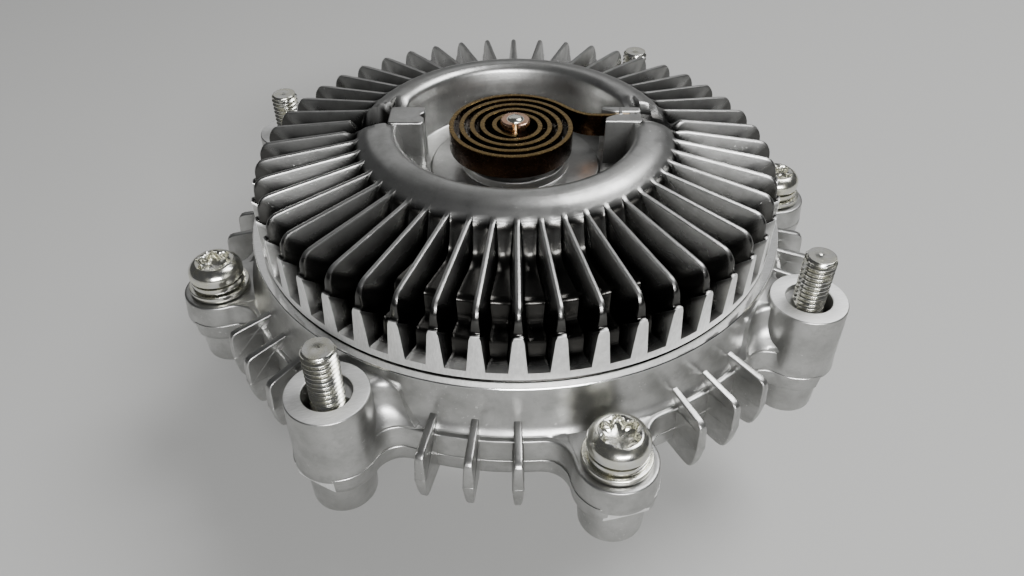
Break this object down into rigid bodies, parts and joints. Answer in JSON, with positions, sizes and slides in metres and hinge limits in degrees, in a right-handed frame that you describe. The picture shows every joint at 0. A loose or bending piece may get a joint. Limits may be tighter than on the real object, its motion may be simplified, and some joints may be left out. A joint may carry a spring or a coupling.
{
  "type": "viscous fan clutch",
  "caption": "Finned aluminium fan clutch: a viscous coupling on a flanged drive shaft whose bimetal spiral turns a valve; the fan bolts to its studs.",
  "frame": {"origin": "centre of the drive flange's rear face, on the shaft's axis", "axes": "+Z along the shaft's axis, from the drive flange towards the bimetal spiral; +X through a cover screw"},
  "size_m": [0.1432, 0.1432, 0.0715],
  "materials": {
    "cast_aluminium": "as-cast satin, machined feet",
    "turned_aluminium": "turned",
    "ground_steel": "ground",
    "bright_zinc": "bright zinc plate",
    "bimetal_bronze": "rolled strip, heat tinted",
    "cage_brass": "machined",
    "black_rubber": "matte"
  },
  "bodies": {
    "shaft": {"drive_shaft": "ground_steel", "bearing_inner_ring": "ground_steel", "drive_rotor": "turned_aluminium"},
    "housing": {"front_cover": "cast_aluminium", "rear_housing": "cast_aluminium", "cover_seal_ring": "black_rubber", "partition_plate": "ground_steel", "valve_bush": "bimetal_bronze", "bearing_outer_ring": "ground_steel", "bearing_seal_front": "black_rubber", "bearing_seal_rear": "black_rubber", "bimetal_coil": "bimetal_bronze", "cover_screw_1": "bright_zinc", "cover_screw_2": "bright_zinc", "cover_screw_3": "bright_zinc", "cover_screw_4": "bright_zinc", "spring_washer_1": "bright_zinc", "spring_washer_2": "bright_zinc", "spring_washer_3": "bright_zinc", "spring_washer_4": "bright_zinc", "flat_washer_1": "bright_zinc", "flat_washer_2": "bright_zinc", "flat_washer_3": "bright_zinc", "flat_washer_4": "bright_zinc", "fan_stud_1": "bright_zinc", "fan_stud_2": "bright_zinc", "fan_stud_3": "bright_zinc", "fan_stud_4": "bright_zinc"},
    "cage": {"bearing_cage": "cage_brass", "bearing_ball_1": "ground_steel", "bearing_ball_2": "ground_steel", "bearing_ball_3": "ground_steel", "bearing_ball_4": "ground_steel", "bearing_ball_5": "ground_steel", "bearing_ball_6": "ground_steel", "bearing_ball_7": "ground_steel", "bearing_ball_8": "ground_steel"},
    "valve": {"valve_shaft": "ground_steel", "valve_arm": "ground_steel", "valve_shaft_clip": "ground_steel"}
  },
  "joints": [
    {"name": "housing_spin", "type": "hinge", "parent": "shaft", "child": "housing", "pos_m": [0, 0, 0.0252], "axis": [0, 0, 1], "continuous": true},
    {"name": "cage_spin", "type": "hinge", "parent": "shaft", "child": "cage", "pos_m": [0, 0, 0.0252], "axis": [0, 0, 1], "continuous": true},
    {"name": "valve_turn", "type": "hinge", "parent": "housing", "child": "valve", "pos_m": [0, 0, 0.056], "axis": [0, 0, 1], "range_deg": [-5, 30], "deforming": ["bimetal_coil"]}
  ],
  "couplings": [
    {"joint": "cage_spin", "follows": "housing_spin", "ratio": 0.61228}
  ]
}
